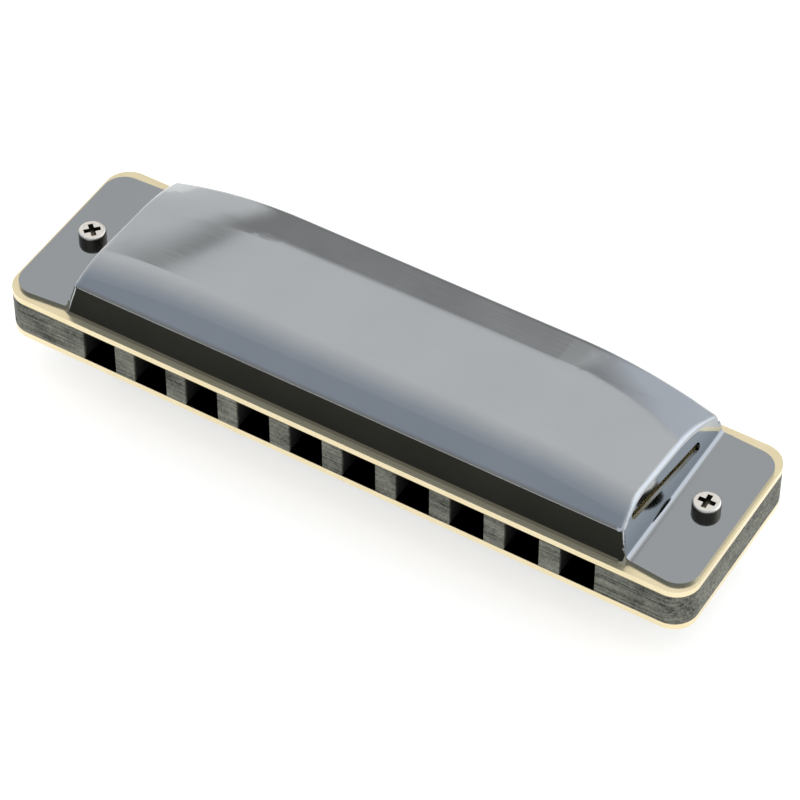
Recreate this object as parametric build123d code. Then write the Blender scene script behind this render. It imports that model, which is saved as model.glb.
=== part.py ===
from build123d import *

import os
from math import atan2, hypot, pi, tan

# Ten-hole diatonic harmonica, built as an assembly of its real pieces.
#
# Frame: X runs along the row of holes with hole 1 at -X, -Y is the side that
# is blown into, +Z is up. The origin is under the middle of the harmonica, on
# the surface that it lies on. All sizes are in millimetres.
#
# Heights inside a cover are measured from the reed plate that it sits on.
# Setbacks run back from the front edge of the reed plates, and rear insets
# run forward from their rear edge.

# ---- body ----------------------------------------------------------------
body_length = 102.0
body_width = 27.9
body_corner_radius = 3.4
comb_height = 5.0
plate_thickness = 1.0

# ---- row of holes --------------------------------------------------------
hole_count = 10
hole_width = 5.0
end_block_length = 12.77

# ---- reeds ---------------------------------------------------------------
reed_width = 2.2
longest_reed = 16.5
shortest_reed = 9.5
draw_reed_shortfall = 0.5
reed_root_thickness = 0.3
reed_tip_thickness = 0.18
reed_tip_lift = 0.25
reed_root_gap = 0.03
slot_clearance = 0.08
pad_length = 3.2
pad_width = 3.0
pad_front_setback = 4.0
draw_tip_setback = 4.6
chamber_tail = 0.8
chamber_corner_radius = 0.8
rivet_shank_diameter = 1.2
rivet_head_diameter = 1.7
rivet_head_height = 0.35
rivet_tail_diameter = 1.6
rivet_tail_height = 0.25

# ---- covers --------------------------------------------------------------
sheet_thickness = 0.5
cover_height = 7.2
upper_front_setback = 0.9
lower_front_setback = 2.9
wall_height = 4.8
wall_lean = 1.05
wall_top_radius = 0.9
shoulder_run = 4.55
shoulder_radius = 9.0
rear_slope_run = 6.2
rear_slope_radius = 20.0
rear_roll_radius = 1.3
rear_edge_inset = 1.2
rear_roll_drop = 0.35
lip_depth = 2.1
hump_overhang = 3.57
end_wall_lean = 1.15
fade_length = 20.0
fade_stations = 6
shoulder_fade = 0.4
top_fade = 1.4
rear_fade = 3.8
rim_radius = 0.9
cove_radius = 0.8
ear_end_inset = 0.5
ear_rear_inset = 1.8
ear_front_setback = 0.8
ear_front_run = 0.65
ear_rear_relief = 0.4
ear_corner_radius = 3.0

# ---- side vents ----------------------------------------------------------
vent_width = 1.25
vent_front_run = 4.1
vent_rear_inset = 7.3
vent_front_height = 4.75
vent_rear_height = 2.75

# ---- cover screws and nuts ----------------------------------------------
cover_screw_diameter = 2.0
cover_screw_end_inset = 4.9
cover_screw_head_diameter = 3.75
cover_screw_head_height = 1.4
cover_screw_clearance = 0.1
cover_screw_head_round = 0.35
cross_recess_width = 0.7
cross_recess_span = 2.3
cross_recess_depth = 0.8
left_screw_turn = 48.0
right_screw_turn = 3.0
nut_across_flats = 4.0
nut_thickness = 1.6
nut_thread_clearance = 0.02
screw_end_beyond_nut = 0.4

# ---- reed plate screws ---------------------------------------------------
plate_screw_diameter = 1.2
plate_screw_head_diameter = 2.2
plate_screw_head_height = 0.6
plate_screw_tip_gap = 0.8
plate_screw_tip_clearance = 0.1
plate_screw_front_setback = 5.0
plate_screw_rear_inset = 5.9
plate_screw_front_dividers = (3, 7)
plate_screw_rear_dividers = (1, 5, 9)
plate_screw_clearance = 0.05
plate_screw_slot_width = 0.35
plate_screw_slot_depth = 0.25

# ---- places that follow from the sizes above -----------------------------
half_length = body_length / 2
half_width = body_width / 2
hole_pitch = (body_length - 2 * end_block_length - hole_width) / (hole_count - 1)
front_edge = -half_width
rear_edge = half_width - rear_edge_inset
lower_plate_bottom = cover_height
comb_bottom = lower_plate_bottom + plate_thickness
comb_top = comb_bottom + comb_height
upper_plate_top = comb_top + plate_thickness
hump_foot = ((hole_count - 1) * hole_pitch + hole_width) / 2 + hump_overhang
hump_end = hump_foot - end_wall_lean
end_slope = end_wall_lean / wall_height
cove_tangent = cove_radius * tan((pi / 2 - atan2(end_wall_lean, wall_height)) / 2)
cove_end = hump_foot - end_slope * sheet_thickness + cove_tangent
ear_end = half_length - ear_end_inset
ear_front = front_edge + ear_front_setback
ear_rear = half_width - ear_rear_inset
ear_rear_inner = half_width - ear_rear_inset + ear_rear_relief
cover_screw_x = half_length - cover_screw_end_inset
cover_screw_bore = cover_screw_diameter + 2 * cover_screw_clearance
blow_root = front_edge + pad_front_setback + pad_length
draw_tip = front_edge + draw_tip_setback
rivet_back = pad_length / 2
plate_screw_depth = (comb_height - plate_screw_tip_gap) / 2
cut_past = 1.0
same_place = 0.01
upward = (Align.CENTER, Align.CENTER, Align.MIN)
downward = (Align.CENTER, Align.CENTER, Align.MAX)


def hole_x(number):
    """X of the middle of a hole, numbered from 1 at the left."""
    return (number - (hole_count + 1) / 2) * hole_pitch


def blow_length(number):
    """Length of a blow reed: the low notes on the left have the long reeds."""
    return longest_reed + (shortest_reed - longest_reed) * (number - 1) / (hole_count - 1)


def draw_length(number):
    return blow_length(number) - draw_reed_shortfall


def draw_root(number):
    """Y where a draw reed is clamped. It points to the front, so its root is behind it."""
    return draw_tip + draw_length(number)


def plate_screw_places():
    """Screws stand over the comb's dividers, each counted by the hole on its left."""
    front, rear = front_edge + plate_screw_front_setback, half_width - plate_screw_rear_inset
    places = [((hole_x(i) + hole_x(i + 1)) / 2, front) for i in plate_screw_front_dividers]
    places += [((hole_x(i) + hole_x(i + 1)) / 2, rear) for i in plate_screw_rear_dividers]
    return places


# ---- comb ----------------------------------------------------------------
def comb():
    """Wooden body: end blocks, dividers and a rear spine round ten open chambers."""
    body = plate_blank(comb_height)
    for number in range(1, hole_count + 1):
        chamber_end = blow_root + blow_length(number) + chamber_tail
        chamber_start = front_edge - cut_past - chamber_corner_radius
        outline = RectangleRounded(hole_width, chamber_end - chamber_start, chamber_corner_radius)
        middle = (chamber_start + chamber_end) / 2
        body -= Pos(hole_x(number), middle, -cut_past) * extrude(outline, comb_height + 2 * cut_past)
    body -= cover_screw_holes(comb_height)
    pilot = Cylinder(
        plate_screw_diameter / 2 + plate_screw_clearance,
        plate_screw_depth + plate_screw_tip_clearance,
        align=upward,
    )
    for x, y in plate_screw_places():
        body -= Pos(x, y, 0) * pilot
        body -= Pos(x, y, comb_height) * Rot(180, 0, 0) * pilot
    return Pos(0, 0, comb_bottom) * body


def plate_blank(height):
    return extrude(RectangleRounded(body_length, body_width, body_corner_radius), height)


def cover_screw_holes(height):
    hole = Cylinder(cover_screw_bore / 2, height + 2 * cut_past)
    return [Pos(side * cover_screw_x, 0, height / 2) * hole for side in (-1, 1)]


# ---- reed plates ---------------------------------------------------------
def reed_plate(reeds):
    """Brass plate with a slot, and a rivet hole, for each (x, root, length, direction)."""
    plate = plate_blank(plate_thickness)
    plate -= cover_screw_holes(plate_thickness)
    middle = plate_thickness / 2
    depth = plate_thickness + 2 * cut_past
    slot_width = reed_width + 2 * slot_clearance
    rivet_hole = Cylinder(rivet_shank_diameter / 2, depth)
    screw_hole = Cylinder(plate_screw_diameter / 2 + plate_screw_clearance, depth)
    for x, root, length, direction in reeds:
        slot_length = length + slot_clearance
        slot_middle = root + direction * slot_length / 2
        plate -= Pos(x, slot_middle, middle) * Box(slot_width, slot_length, depth)
        plate -= Pos(x, root - direction * rivet_back, middle) * rivet_hole
    for x, y in plate_screw_places():
        plate -= Pos(x, y, middle) * screw_hole
    return plate


# ---- reeds ---------------------------------------------------------------
def reed(x, root, length, direction, plate_face):
    """Free blade of a reed, under the plate, thinner and lifted off it at its tip."""
    near = root + direction * reed_root_gap
    tip = root + direction * length
    tip_face = plate_face - reed_tip_lift
    profile = Polyline(
        (near, plate_face),
        (tip, tip_face),
        (tip, tip_face - reed_tip_thickness),
        (near, plate_face - reed_root_thickness),
        close=True,
    )
    blade = extrude(Plane.YZ * make_face(profile), reed_width / 2, both=True)
    return Pos(x, 0, 0) * blade


def reed_pads(reeds, plate_face):
    """The riveted ends of a plate's reeds."""
    pad = Box(pad_width, pad_length, reed_root_thickness)
    pad -= Cylinder(rivet_shank_diameter / 2, 2 * reed_root_thickness)
    height = plate_face - reed_root_thickness / 2
    return [Pos(x, root - way * rivet_back, height) * pad for x, root, _, way in reeds]


def reed_rivets(reeds, plate_face):
    """Rivets with a head under the pad and a hammered tail over the plate."""
    grip = reed_root_thickness + plate_thickness
    tail = Cylinder(rivet_tail_diameter / 2, rivet_tail_height, align=upward)
    rivet = Cylinder(rivet_head_diameter / 2, rivet_head_height, align=upward)
    rivet += Pos(0, 0, rivet_head_height) * Cylinder(rivet_shank_diameter / 2, grip, align=upward)
    rivet += Pos(0, 0, rivet_head_height + grip) * tail
    bottom = plate_face - reed_root_thickness - rivet_head_height
    return [Pos(x, root - way * rivet_back, bottom) * rivet for x, root, _, way in reeds]


# ---- screws and nuts -----------------------------------------------------
def plate_screw():
    """Slotted screw, head up, with the underside of its head at zero."""
    radius = plate_screw_head_diameter / 2
    head = Cylinder(radius, plate_screw_head_height, align=upward)
    slot = Box(plate_screw_head_diameter, plate_screw_slot_width, plate_screw_slot_depth, align=downward)
    head -= Pos(0, 0, plate_screw_head_height) * slot
    length = plate_thickness + plate_screw_depth
    return head + Cylinder(plate_screw_diameter / 2, length, align=downward)


def cover_screw():
    """Cross-recessed screw that clamps the whole stack, its head seated at zero."""
    head = Cylinder(cover_screw_head_diameter / 2, cover_screw_head_height, align=upward)
    head = fillet(head.edges().group_by(Axis.Z)[-1], cover_screw_head_round)
    for across in (0, 90):
        arm = Box(cross_recess_span, cross_recess_width, cross_recess_depth, align=downward)
        head -= Pos(0, 0, cover_screw_head_height) * Rot(0, 0, across) * arm
    stack = comb_height + 2 * plate_thickness + 2 * sheet_thickness
    length = stack + nut_thickness + screw_end_beyond_nut
    return head + Cylinder(cover_screw_diameter / 2, length, align=downward)


def cover_nut():
    """Hexagonal nut, its upper face at zero, against the lower cover's ear."""
    blank = RegularPolygon(nut_across_flats / 2, 6, major_radius=False)
    nut = extrude(blank, -nut_thickness)
    bore = Cylinder(cover_screw_diameter / 2 + nut_thread_clearance, 3 * nut_thickness)
    return nut - bore


# ---- covers --------------------------------------------------------------
def offset_corner(before, corner, after, distance):
    """Move a corner of an outline to its right, square to both of its sides."""
    in_length = hypot(corner[0] - before[0], corner[1] - before[1])
    out_length = hypot(after[0] - corner[0], after[1] - corner[1])
    in_x, in_y = (corner[0] - before[0]) / in_length, (corner[1] - before[1]) / in_length
    out_x, out_y = (after[0] - corner[0]) / out_length, (after[1] - corner[1]) / out_length
    scale = distance / (1 + in_x * out_x + in_y * out_y)
    return corner[0] + (in_y + out_y) * scale, corner[1] - (in_x + out_x) * scale


def end_wall_x(height, inset):
    """X of the right end wall's outer face at a height, or with an inset of its inner face."""
    lean = end_slope * height
    return hump_foot - lean - inset * hypot(end_wall_lean, wall_height) / wall_height


def hump_section(x, front_setback, inset):
    """Cross-section of a cover's hump at x, for its outside or, with an inset, its inside.

    The top drops towards both ends, least at the front wall and most at the rear roll.
    """
    reach = max(0.0, abs(x) - (hump_end - fade_length)) / fade_length
    fade = reach * reach
    front = front_edge + front_setback
    wall_top = (front + wall_lean, wall_height)
    shoulder = (wall_top[0] + shoulder_run - fade, cover_height - shoulder_fade * fade)
    slope_start = (rear_edge - rear_slope_run, cover_height - top_fade * fade)
    roll = (rear_edge, cover_height - rear_roll_drop - rear_fade * fade)
    radii = [wall_top_radius, shoulder_radius, rear_slope_radius, rear_roll_radius]
    outline = [(front, 0.0), wall_top, shoulder, slope_start, roll, (rear_edge, 0.0)]
    if inset:
        foot_inset = inset * hypot(wall_lean, wall_height) / wall_height
        corners = zip(outline, outline[1:], outline[2:])
        inner = [offset_corner(before, corner, after, inset) for before, corner, after in corners]
        lip = roll[1] - lip_depth
        outline = [(front + foot_inset, 0.0)] + inner + [(rear_edge - inset, lip)]
        radii = [radius - inset for radius in radii]
    skin = FilletPolyline(*outline, radius=radii)
    foot, end = outline[0], outline[-1]
    below = -cut_past - inset
    closing = [end, (end[0], below), (foot[0], below), foot]
    if inset:
        back = rear_edge + cut_past
        closing[1:2] = [(back, end[1]), (back, below)]
    return Plane.YZ.offset(x) * make_face([skin, Polyline(*closing)])


def hump(front_setback, inset):
    """Solid of a cover's hump: a straight middle, and ends that fade down to rounded rims."""
    start = hump_end - fade_length
    end = hump_foot + cut_past
    middle = extrude(hump_section(0, front_setback, inset), start, both=True)
    places = [start + (end - start) * step / fade_stations for step in range(fade_stations + 1)]
    right = loft([hump_section(x, front_setback, inset) for x in places])
    low, high = -3 * cut_past, cover_height + cut_past
    corners = [(0, low), (end_wall_x(low, inset), low), (end_wall_x(high, inset), high), (0, high)]
    right &= extrude(Plane.XZ * make_face(Polyline(*corners, close=True)), body_width, both=True)
    rims = []
    for edge in right.edges():
        middle_of_edge = edge.center()
        on_end = abs(middle_of_edge.X - end_wall_x(middle_of_edge.Z, inset)) < same_place
        if on_end and middle_of_edge.Z > 0 and middle_of_edge.Y < rear_edge - same_place:
            rims.append(edge)
    right = fillet(rims, rim_radius - inset)
    return middle + right + mirror(right, Plane.YZ)


def cove(inset, bottom, front, rear):
    """Prism under the hollow round that leads from the right ear up to the end wall.

    With an inset it is the room under the sheet there, which reaches down to the bottom.
    """
    level = sheet_thickness - inset
    top = level + 2 * cove_radius
    deep = hump_end - 2 * cut_past
    beyond = cove_end + cut_past
    corner, crest = (end_wall_x(level, inset), level), (end_wall_x(top, inset), top)
    skin = FilletPolyline((beyond, level), corner, crest, radius=cove_radius + inset)
    closing = Polyline(crest, (deep, top), (deep, bottom), (beyond, bottom), (beyond, level))
    prism = extrude(Plane.XZ * make_face([skin, closing]), -(rear - front))
    return Pos(0, front, 0) * prism


def ear(inner_front):
    """Flat ear at the right end, narrower where it meets the hump."""
    root = hump_end - cut_past
    corners = [(root, inner_front), (cove_end, inner_front), (ear_end, ear_front)]
    corners += [(ear_end, ear_rear), (cove_end, ear_rear_inner), (root, ear_rear_inner)]
    radii = [0, 0, ear_corner_radius, ear_corner_radius, 0, 0]
    return extrude(make_face(FilletPolyline(*corners, radius=radii, close=True)), sheet_thickness)


def vent(front_setback):
    """Slanted slot through the right end wall, square to the wall."""
    front, rear = front_edge + front_setback + vent_front_run, half_width - vent_rear_inset
    along = Vector(-end_slope * (vent_rear_height - vent_front_height), rear - front)
    along += Vector(0, 0, vent_rear_height - vent_front_height)
    height = (vent_front_height + vent_rear_height) / 2
    middle = (end_wall_x(height, 0), (front + rear) / 2, height)
    wall = Plane(origin=middle, x_dir=along, z_dir=(wall_height, 0, end_wall_lean))
    return extrude(wall * SlotCenterToCenter(along.length, vent_width), cut_past, both=True)


def cover(front_setback):
    """Pressed sheet cover, lying on z = 0 with its hump up."""
    front = front_edge + front_setback + ear_front_run
    outside = [ear(front), cove(0.0, 0.0, front, ear_rear_inner)]
    inside = [cove(sheet_thickness, -cut_past, front + sheet_thickness, half_width)]
    inside += [vent(front_setback)]
    outside += [mirror(piece, Plane.YZ) for piece in outside]
    inside += [mirror(piece, Plane.YZ) for piece in inside]
    shell = hump(front_setback, 0.0) + outside
    shell -= [hump(front_setback, sheet_thickness)] + inside
    shell -= cover_screw_holes(sheet_thickness)
    floor = Box(body_length, body_width, 2 * cut_past, align=(Align.CENTER, Align.CENTER, Align.MAX))
    return shell - floor


# ---- assembly ------------------------------------------------------------
blow_reeds = [(hole_x(n), blow_root, blow_length(n), 1) for n in range(1, hole_count + 1)]
draw_reeds = [(hole_x(n), draw_root(n), draw_length(n), -1) for n in range(1, hole_count + 1)]


def assembly():
    """Every piece in place, by the name of its node."""
    pieces = {
        "lower_cover": Pos(0, 0, lower_plate_bottom) * mirror(cover(lower_front_setback), Plane.XY),
        "upper_cover": Pos(0, 0, upper_plate_top) * cover(upper_front_setback),
        "comb": comb(),
        "lower_reed_plate": Pos(0, 0, lower_plate_bottom) * reed_plate(draw_reeds),
        "upper_reed_plate": Pos(0, 0, comb_top) * reed_plate(blow_reeds),
        "blow_reed_pads": reed_pads(blow_reeds, comb_top),
        "draw_reed_pads": reed_pads(draw_reeds, lower_plate_bottom),
        "blow_reed_rivets": reed_rivets(blow_reeds, comb_top),
        "draw_reed_rivets": reed_rivets(draw_reeds, lower_plate_bottom),
    }
    for number, place in enumerate(blow_reeds, 1):
        pieces[f"blow_reed_{number:02d}"] = reed(*place, comb_top)
    for number, place in enumerate(draw_reeds, 1):
        pieces[f"draw_reed_{number:02d}"] = reed(*place, lower_plate_bottom)
    screw, nut, small_screw = cover_screw(), cover_nut(), plate_screw()
    head_seat = upper_plate_top + sheet_thickness
    nut_seat = lower_plate_bottom - sheet_thickness
    sides = [(-cover_screw_x, left_screw_turn), (cover_screw_x, right_screw_turn)]
    pieces["cover_screws"] = [Pos(x, 0, head_seat) * Rot(0, 0, turn) * screw for x, turn in sides]
    pieces["cover_nuts"] = [Pos(x, 0, nut_seat) * nut for x, _ in sides]
    upper_seats = [Pos(x, y, upper_plate_top) for x, y in plate_screw_places()]
    lower_seats = [Pos(x, y, lower_plate_bottom) * Rot(180, 0, 0) for x, y in plate_screw_places()]
    pieces["upper_plate_screws"] = [seat * small_screw for seat in upper_seats]
    pieces["lower_plate_screws"] = [seat * small_screw for seat in lower_seats]
    return pieces


def main():
    os.makedirs("parts", exist_ok=True)
    for name, piece in assembly().items():
        shape = Compound(children=piece) if isinstance(piece, list) else piece
        export_step(shape, f"parts/{name}.step")


if __name__ == "__main__":
    main()
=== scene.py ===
"""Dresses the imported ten-hole harmonica in black nickel, brass, dyed laminated wood and nickel steel."""

import bpy
from mathutils import Matrix, Vector


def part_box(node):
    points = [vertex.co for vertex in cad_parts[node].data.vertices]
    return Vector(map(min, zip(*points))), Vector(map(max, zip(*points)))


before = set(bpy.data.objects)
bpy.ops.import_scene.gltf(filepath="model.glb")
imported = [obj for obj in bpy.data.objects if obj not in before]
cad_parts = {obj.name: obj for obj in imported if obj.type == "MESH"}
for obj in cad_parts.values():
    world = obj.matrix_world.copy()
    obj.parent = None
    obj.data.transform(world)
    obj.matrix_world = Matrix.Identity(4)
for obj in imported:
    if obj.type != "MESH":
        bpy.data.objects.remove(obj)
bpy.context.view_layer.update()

MM = 0.001

# ---- places read from the frame ----------------------------------------------
upper_plate_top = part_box("upper_reed_plate")[1][2]
screw_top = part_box("cover_screws")[1][2]
comb_low, comb_high = (Vector(corner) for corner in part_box("comb"))
comb_mid_height = (comb_low.z + comb_high.z) / 2
comb_half_height = (comb_high.z - comb_low.z) / 2
# the ten chambers lie within this distance of the middle, and the wood beyond them is solid
chamber_reach = 39.5 * MM


# ---- small helpers -----------------------------------------------------------
def linear(code):
    """An sRGB hex colour as linear red, green, blue and alpha."""
    channels = [int(code[i : i + 2], 16) / 255 for i in (0, 2, 4)]
    return [c / 12.92 if c <= 0.04045 else ((c + 0.055) / 1.055) ** 2.4 for c in channels] + [1.0]


def per_metre(size):
    """How many times a pattern of this size in millimetres fits in a metre."""
    return 1 / (size * MM)


def add(tree, kind, inputs=None, **settings):
    """Adds a node: settings are its own properties, inputs are values or other nodes' outputs."""
    node = tree.nodes.new(kind)
    for name, value in settings.items():
        setattr(node, name, value)
    for name, value in (inputs or {}).items():
        if isinstance(value, bpy.types.NodeSocket):
            tree.links.new(value, node.inputs[name])
        else:
            node.inputs[name].default_value = value
    return node


def new_material(name):
    """An empty material and its node tree."""
    material = bpy.data.materials.new(name)
    material.use_nodes = True
    material.node_tree.nodes.clear()
    return material, material.node_tree


# ---- materials ---------------------------------------------------------------
def black_nickel_plating():
    """Black nickel on pressed, polished brass: a dark, cool mirror with polishing marks along it."""
    mark_length, mark_width = 8.33, 0.154
    haze_patch = 12.5
    swell_length = 18.2
    swell_depth = 0.06 * MM

    material, tree = new_material("black_nickel_plating")
    coords = add(tree, "ShaderNodeTexCoord").outputs["Object"]

    # polishing marks run along the cover, and handling leaves haze in patches
    mark_scale = (per_metre(mark_length), per_metre(mark_width), per_metre(mark_width))
    along = add(tree, "ShaderNodeMapping", {"Vector": coords, "Scale": mark_scale}).outputs[0]
    marks = add(tree, "ShaderNodeTexNoise", {"Vector": along, "Scale": 1.0, "Detail": 2.0}).outputs[0]
    haze_inputs = {"Vector": coords, "Scale": per_metre(haze_patch), "Detail": 5.0}
    haze = add(tree, "ShaderNodeTexNoise", haze_inputs).outputs[0]
    both = add(tree, "ShaderNodeMix", {"Factor": 0.45, 2: haze, 3: marks}).outputs[0]
    roughness = add(
        tree,
        "ShaderNodeMapRange",
        {"Value": both, "From Min": 0.3, "From Max": 0.7, "To Min": 0.07, "To Max": 0.14},
    ).outputs[0]
    hazed = add(
        tree,
        "ShaderNodeMix",
        {"Factor": haze, "A": linear("A3A7AA"), "B": linear("B3B6B7")},
        data_type="RGBA",
    ).outputs["Result"]

    # painted highlight: the raised top is painted a little brighter than the ears, standing in for its
    # brighter reflection
    height = add(tree, "ShaderNodeSeparateXYZ", {"Vector": coords}).outputs["Z"]
    painted_top_highlight = add(
        tree,
        "ShaderNodeMapRange",
        {"Value": height, "From Min": upper_plate_top + 1.0 * MM, "From Max": upper_plate_top + 4.0 * MM},
    ).outputs[0]
    colour = add(
        tree,
        "ShaderNodeMix",
        {"Factor": painted_top_highlight, "A": linear("94989B"), "B": hazed},
        data_type="RGBA",
    ).outputs["Result"]

    # the pressing leaves a long, shallow unevenness
    swell_inputs = {"Vector": coords, "Scale": per_metre(swell_length), "Detail": 1.0}
    swell = add(tree, "ShaderNodeTexNoise", swell_inputs).outputs[0]
    bump_inputs = {"Height": swell, "Strength": 0.2, "Distance": swell_depth}
    bump = add(tree, "ShaderNodeBump", bump_inputs).outputs[0]

    shader = add(
        tree,
        "ShaderNodeBsdfPrincipled",
        {"Base Color": colour, "Metallic": 1.0, "Roughness": roughness, "Normal": bump},
    )
    add(tree, "ShaderNodeOutputMaterial", {"Surface": shader.outputs[0]})
    return material


def rolled_brass(name, unshaded, chamber_shade_colour):
    """Rolled brass: pale gold with fine rolling lines, painted dark brown inside the chambers as shade."""
    line_length, line_pitch = 11.1, 0.2
    bloom_patch = 3.85
    line_depth = 0.02 * MM
    # the painted shade ends between these two distances outside a chamber's floor or roof
    chamber_shade_kept, chamber_shade_gone = 0.02 * MM, 0.12 * MM

    material, tree = new_material(name)
    coords = add(tree, "ShaderNodeTexCoord").outputs["Object"]

    line_scale = (per_metre(line_length), per_metre(line_pitch), per_metre(line_pitch))
    along = add(tree, "ShaderNodeMapping", {"Vector": coords, "Scale": line_scale}).outputs[0]
    lines = add(tree, "ShaderNodeTexNoise", {"Vector": along, "Scale": 1.0, "Detail": 3.0}).outputs[0]
    roughness = add(tree, "ShaderNodeMapRange", {"Value": lines, "To Min": 0.16, "To Max": 0.34}).outputs[0]

    # a paler bloom in patches, as on brass that has been wiped
    bloom_inputs = {"Vector": coords, "Scale": per_metre(bloom_patch), "Detail": 4.0}
    bloom = add(tree, "ShaderNodeTexNoise", bloom_inputs).outputs[0]
    wiped = add(
        tree,
        "ShaderNodeMix",
        {"Factor": bloom, "A": linear(unshaded), "B": linear("F3E6C4")},
        data_type="RGBA",
    ).outputs["Result"]

    # painted shade: the brass faces that close the chambers are painted dark, as shade inside them
    height = add(tree, "ShaderNodeSeparateXYZ", {"Vector": coords}).outputs["Z"]
    from_mid = {0: height, 1: comb_mid_height}
    offset = add(tree, "ShaderNodeMath", from_mid, operation="SUBTRACT").outputs[0]
    distance = add(tree, "ShaderNodeMath", {0: offset}, operation="ABSOLUTE").outputs[0]
    inside = add(
        tree,
        "ShaderNodeMapRange",
        {
            "Value": distance,
            "From Min": comb_half_height + chamber_shade_kept,
            "From Max": comb_half_height + chamber_shade_gone,
            "To Min": 1.0,
            "To Max": 0.0,
        },
    ).outputs[0]
    colour = add(
        tree,
        "ShaderNodeMix",
        {"Factor": inside, "A": wiped, "B": linear(chamber_shade_colour)},
        data_type="RGBA",
    ).outputs["Result"]
    bump_inputs = {"Height": lines, "Strength": 0.2, "Distance": line_depth}
    bump = add(tree, "ShaderNodeBump", bump_inputs).outputs[0]

    shader = add(
        tree,
        "ShaderNodeBsdfPrincipled",
        {"Base Color": colour, "Metallic": 1.0, "Roughness": roughness, "Normal": bump},
    )
    add(tree, "ShaderNodeOutputMaterial", {"Surface": shader.outputs[0]})
    return material


def dyed_laminated_wood():
    """Laminated hardwood, dyed black and sanded grey outside: streaks along it, speckled end grain."""
    # fibres are drawn coarser than real pores, so that they show
    fibre_length, fibre_width, fibre_height = 9.09, 0.385, 0.345
    scuff_size = 0.3125
    dye_patch = 3.33
    grain_depth = 0.12 * MM
    # the sanded grey gives way to painted shade between these two depths inside a chamber's mouth
    sanded_to, shaded_from = 0.1 * MM, 0.5 * MM

    material, tree = new_material("dyed_laminated_wood")
    coords = add(tree, "ShaderNodeTexCoord").outputs["Object"]

    fibre_scale = (per_metre(fibre_length), per_metre(fibre_width), per_metre(fibre_height))
    along = add(tree, "ShaderNodeMapping", {"Vector": coords, "Scale": fibre_scale}).outputs[0]
    fibre_inputs = {"Vector": along, "Scale": 1.0, "Detail": 4.0, "Roughness": 0.6}
    fibres = add(tree, "ShaderNodeTexNoise", fibre_inputs).outputs[0]
    scuff_inputs = {"Vector": coords, "Scale": per_metre(scuff_size), "Detail": 3.0}
    scuffs = add(tree, "ShaderNodeTexNoise", scuff_inputs).outputs[0]
    uptake_inputs = {"Vector": coords, "Scale": per_metre(dye_patch), "Detail": 2.0}
    uptake = add(tree, "ShaderNodeTexNoise", uptake_inputs).outputs[0]
    scuffed = add(tree, "ShaderNodeMix", {"Factor": 0.35, 2: fibres, 3: scuffs}).outputs[0]
    grain = add(tree, "ShaderNodeMix", {"Factor": 0.25, 2: scuffed, 3: uptake}).outputs[0]
    worn = add(tree, "ShaderNodeMapRange", {"Value": grain, "From Min": 0.38, "From Max": 0.64}).outputs[0]
    sanded = add(
        tree,
        "ShaderNodeMix",
        {"Factor": worn, "A": linear("1A1A13"), "B": linear("8E9083")},
        data_type="RGBA",
    ).outputs["Result"]

    # painted shade: the chamber walls are painted nearly black, darker than the dye alone, standing in for
    # the shade inside them
    place = add(tree, "ShaderNodeSeparateXYZ", {"Vector": coords})
    depth = place.outputs["Y"]
    behind_front = add(
        tree,
        "ShaderNodeMapRange",
        {"Value": depth, "From Min": comb_low.y + sanded_to, "From Max": comb_low.y + shaded_from},
    ).outputs[0]
    before_back = add(
        tree,
        "ShaderNodeMapRange",
        {"Value": depth, "From Min": comb_high.y - sanded_to, "From Max": comb_high.y - shaded_from},
    ).outputs[0]
    side = add(tree, "ShaderNodeMath", {0: place.outputs["X"]}, operation="ABSOLUTE").outputs[0]
    within = add(tree, "ShaderNodeMath", {0: side, 1: chamber_reach}, operation="LESS_THAN").outputs[0]
    deep = add(tree, "ShaderNodeMath", {0: behind_front, 1: before_back}, operation="MULTIPLY").outputs[0]
    chamber = add(tree, "ShaderNodeMath", {0: deep, 1: within}, operation="MULTIPLY").outputs[0]
    colour = add(
        tree,
        "ShaderNodeMix",
        {"Factor": chamber, "A": sanded, "B": linear("12110D")},
        data_type="RGBA",
    ).outputs["Result"]
    bump_inputs = {"Height": grain, "Strength": 0.6, "Distance": grain_depth}
    bump = add(tree, "ShaderNodeBump", bump_inputs).outputs[0]

    shader = add(tree, "ShaderNodeBsdfPrincipled", {"Base Color": colour, "Roughness": 0.72, "Normal": bump})
    add(tree, "ShaderNodeOutputMaterial", {"Surface": shader.outputs[0]})
    return material


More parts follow.
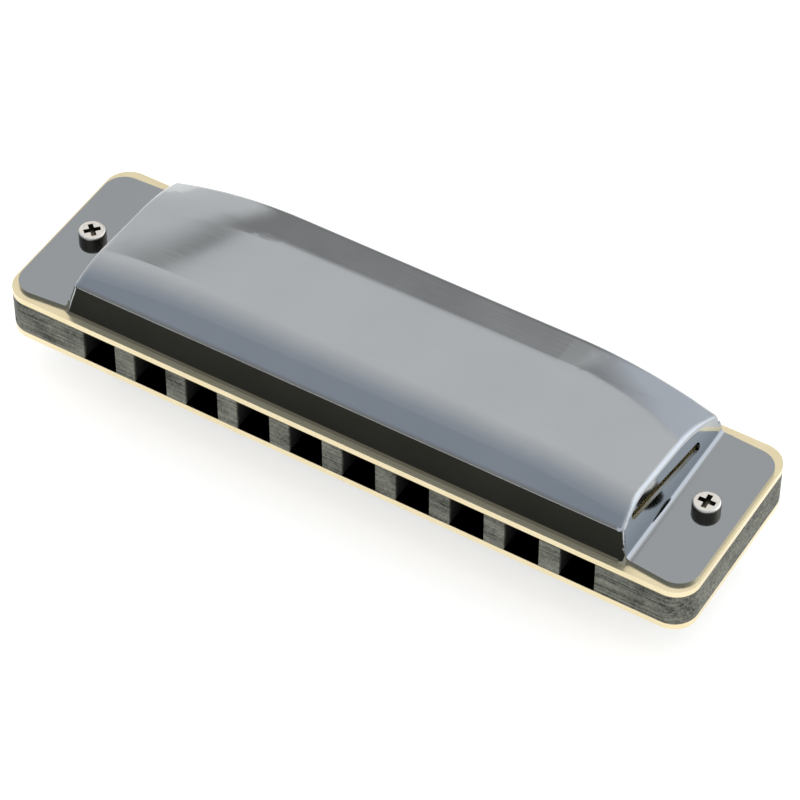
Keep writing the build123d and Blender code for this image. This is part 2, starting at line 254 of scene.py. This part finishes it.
def nickel_plated_steel():
    """Nickel plated steel, turned and tumbled: warm, pale and a little dull, with painted shade in its
    recess and on its side.
    """
    dent_size = 0.25
    dent_depth = 0.03 * MM
    # the pale nickel gives way to painted shade between these two depths below the head's top
    unshaded_to, screw_shaded_from = 0.05 * MM, 0.20 * MM

    material, tree = new_material("nickel_plated_steel")
    coords = add(tree, "ShaderNodeTexCoord").outputs["Object"]

    dent_inputs = {"Vector": coords, "Scale": per_metre(dent_size), "Detail": 3.0}
    dents = add(tree, "ShaderNodeTexNoise", dent_inputs).outputs[0]
    roughness = add(tree, "ShaderNodeMapRange", {"Value": dents, "To Min": 0.2, "To Max": 0.42}).outputs[0]
    tumbled = add(
        tree,
        "ShaderNodeMix",
        {"Factor": dents, "A": linear("D2CCC1"), "B": linear("FDFAF3")},
        data_type="RGBA",
    ).outputs["Result"]

    # painted shade: the recess and the head's side are painted dark, while the head's top and the nuts below
    # keep the pale nickel
    height = add(tree, "ShaderNodeSeparateXYZ", {"Vector": coords}).outputs["Z"]
    head_top = add(
        tree,
        "ShaderNodeMapRange",
        {"Value": height, "From Min": screw_top - screw_shaded_from, "From Max": screw_top - unshaded_to},
    ).outputs[0]
    nut = add(tree, "ShaderNodeMath", {0: height, 1: comb_mid_height}, operation="LESS_THAN").outputs[0]
    unshaded = add(tree, "ShaderNodeMath", {0: head_top, 1: nut}, operation="MAXIMUM").outputs[0]
    colour = add(
        tree,
        "ShaderNodeMix",
        {"Factor": unshaded, "A": linear("5E594E"), "B": tumbled},
        data_type="RGBA",
    ).outputs["Result"]
    bump_inputs = {"Height": dents, "Strength": 0.2, "Distance": dent_depth}
    bump = add(tree, "ShaderNodeBump", bump_inputs).outputs[0]

    shader = add(
        tree,
        "ShaderNodeBsdfPrincipled",
        {"Base Color": colour, "Metallic": 1.0, "Roughness": roughness, "Normal": bump},
    )
    add(tree, "ShaderNodeOutputMaterial", {"Surface": shader.outputs[0]})
    return material


def matt_paper(name, code, glow=0.0):
    """Matt card for the stage, which may be lit from below."""
    material, tree = new_material(name)
    shader = add(
        tree,
        "ShaderNodeBsdfPrincipled",
        {
            "Base Color": linear(code),
            "Roughness": 1.0,
            "Specular IOR Level": 0.0,
            "Emission Color": linear("FFFFFF"),
            "Emission Strength": glow,
        },
    )
    add(tree, "ShaderNodeOutputMaterial", {"Surface": shader.outputs[0]})
    return material


plating = black_nickel_plating()
# the third colour of each brass is painted shade for its faces inside the chambers
plate_brass = rolled_brass("rolled_plate_brass", "E6D6AC", "1E150B")
reed_brass = rolled_brass("ground_reed_brass", "D8C083", "2A1D10")
wood = dyed_laminated_wood()
nickel = nickel_plated_steel()

# reeds, their pads and rivets and the plate screws, which aren't listed, are reed brass
finishes = {
    "upper_cover": plating,
    "lower_cover": plating,
    "comb": wood,
    "cover_screws": nickel,
    "cover_nuts": nickel,
    "upper_reed_plate": plate_brass,
    "lower_reed_plate": plate_brass,
}
for name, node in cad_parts.items():
    for material_slot in node.material_slots:
        material_slot.material = finishes.get(name, reed_brass)


# ---- floor and light ---------------------------------------------------------
def level_sheet(name, low, high, height, material):
    """A flat rectangle of the stage, from one corner to the other."""
    (left, front), (right, rear) = low, high
    corners = [(left, front, height), (right, front, height), (right, rear, height), (left, rear, height)]
    mesh = bpy.data.meshes.new(name)
    mesh.from_pydata(corners, [], [(0, 1, 2, 3)])
    mesh.materials.append(material)
    sheet = bpy.data.objects.new(name, mesh)
    bpy.context.scene.collection.objects.link(sheet)
    return sheet


def light_studio():
    """Soft light all round, and for polished metal a wide bright panel above and a dim room below it."""
    # the world's directions are unit vectors, so these are shares of a full length to each side
    panel_foot = (0.650, 0.668)
    panel_front, panel_rear = -0.35, 0.5
    dim_side, bright_side = -0.26, -0.12
    left_panel = (-0.47, -0.52)
    strip_from_right = (0.1, 0.5)
    strip_from_rear = (0.1, 0.4)
    soft_front, soft_rear = -0.7, 0.2
    soft_front_strength, soft_rear_strength = 0.45, 1.1

    world = bpy.data.worlds.new("studio")
    bpy.context.scene.world = world
    world.use_nodes = True
    tree = world.node_tree
    tree.nodes.clear()
    direction = add(tree, "ShaderNodeTexCoord").outputs["Generated"]
    toward = add(tree, "ShaderNodeSeparateXYZ", {"Vector": direction}).outputs

    # the panel is cool and dimmer towards the front
    along_panel = add(
        tree,
        "ShaderNodeMapRange",
        {"Value": toward["Y"], "From Min": panel_front, "From Max": panel_rear},
    ).outputs[0]
    panel = add(
        tree,
        "ShaderNodeMix",
        {"Factor": along_panel, "A": linear("AEB6C4"), "B": linear("FFFFFF")},
        data_type="RGBA",
    ).outputs["Result"]

    # the room below it is dim at the left and bright at the right
    across_room = add(
        tree,
        "ShaderNodeMapRange",
        {"Value": toward["X"], "From Min": dim_side, "From Max": bright_side},
    ).outputs[0]
    room = add(
        tree,
        "ShaderNodeMix",
        {"Factor": across_room, "A": linear("A8A7A7"), "B": linear("F2F6FF")},
        data_type="RGBA",
    ).outputs["Result"]

    # the panel starts at its foot, and a second panel closes the far left
    above = add(
        tree,
        "ShaderNodeMapRange",
        {"Value": toward["Z"], "From Min": panel_foot[0], "From Max": panel_foot[1]},
        interpolation_type="SMOOTHSTEP",
    ).outputs[0]
    far_left = add(
        tree,
        "ShaderNodeMapRange",
        {"Value": toward["X"], "From Min": left_panel[0], "From Max": left_panel[1]},
    ).outputs[0]
    on_panel = add(tree, "ShaderNodeMath", {0: above, 1: far_left}, operation="MAXIMUM").outputs[0]
    seen = add(
        tree,
        "ShaderNodeMix",
        {"Factor": on_panel, "A": room, "B": panel},
        data_type="RGBA",
    ).outputs["Result"]

    # a strip light at the right and a little behind doubles the brightness there
    from_right = add(
        tree,
        "ShaderNodeMapRange",
        {"Value": toward["X"], "From Min": strip_from_right[0], "From Max": strip_from_right[1]},
    ).outputs[0]
    from_rear = add(
        tree,
        "ShaderNodeMapRange",
        {"Value": toward["Y"], "From Min": strip_from_rear[0], "From Max": strip_from_rear[1]},
    ).outputs[0]
    strip_inputs = {0: from_right, 1: from_rear, 2: 1.0}
    strip = add(tree, "ShaderNodeMath", strip_inputs, operation="MULTIPLY_ADD").outputs[0]
    mirrored = add(tree, "ShaderNodeBackground", {"Color": seen, "Strength": strip}).outputs[0]

    # dull surfaces get plain white light, weaker from the front
    soft_strength = add(
        tree,
        "ShaderNodeMapRange",
        {
            "Value": toward["Y"],
            "From Min": soft_front,
            "From Max": soft_rear,
            "To Min": soft_front_strength,
            "To Max": soft_rear_strength,
        },
    ).outputs[0]
    soft_inputs = {"Color": linear("FFFFFF"), "Strength": soft_strength}
    soft = add(tree, "ShaderNodeBackground", soft_inputs).outputs[0]

    from_metal = add(tree, "ShaderNodeLightPath").outputs["Is Glossy Ray"]
    light = add(tree, "ShaderNodeMixShader", {0: from_metal, 1: soft, 2: mirrored}).outputs[0]
    add(tree, "ShaderNodeOutputWorld", {"Surface": light})
    # reflected rays alone see the panels, so the world isn't sampled as a lamp
    world.cycles.sampling_method = "NONE"


floor_reach = 1.5
lit_white_floor = matt_paper("lit_white_floor", "E6E6E5", glow=0.56)
level_sheet("floor", (-floor_reach, -floor_reach), (floor_reach, floor_reach), 0.0, lit_white_floor)

# a dark card lies in front, where only polished metal sees it: it darkens the covers' front walls
card_left_front, card_right_rear, card_height = (-0.26, -0.20), (0.26, -0.034), 0.2 * MM
black_paper = matt_paper("black_paper", "48463D")
card = level_sheet("black_card", card_left_front, card_right_rear, card_height, black_paper)
card.visible_camera = False
card.visible_diffuse = False
card.visible_shadow = False

light_studio()


# ---- camera ------------------------------------------------------------------
def place_camera():
    """A long lens from the front right, looking down on the harmonica at 47 degrees."""
    eye = Vector((173.4, -282.2, 363.9)) * MM
    right = Vector((0.8542, 0.5199, 0.0))
    up = Vector((-0.3802, 0.6247, 0.6820))
    back = Vector((0.3546, -0.5826, 0.7313))

    camera_data = bpy.data.cameras.new("camera")
    camera_data.lens = 168.7
    camera_data.sensor_width = 36.0
    camera_data.clip_start = 0.01
    camera = bpy.data.objects.new("camera", camera_data)
    bpy.context.scene.collection.objects.link(camera)
    camera.matrix_world = Matrix.Translation(eye) @ Matrix((right, up, back)).transposed().to_4x4()
    bpy.context.scene.camera = camera


place_camera()
bpy.context.scene.view_settings.view_transform = "Standard"
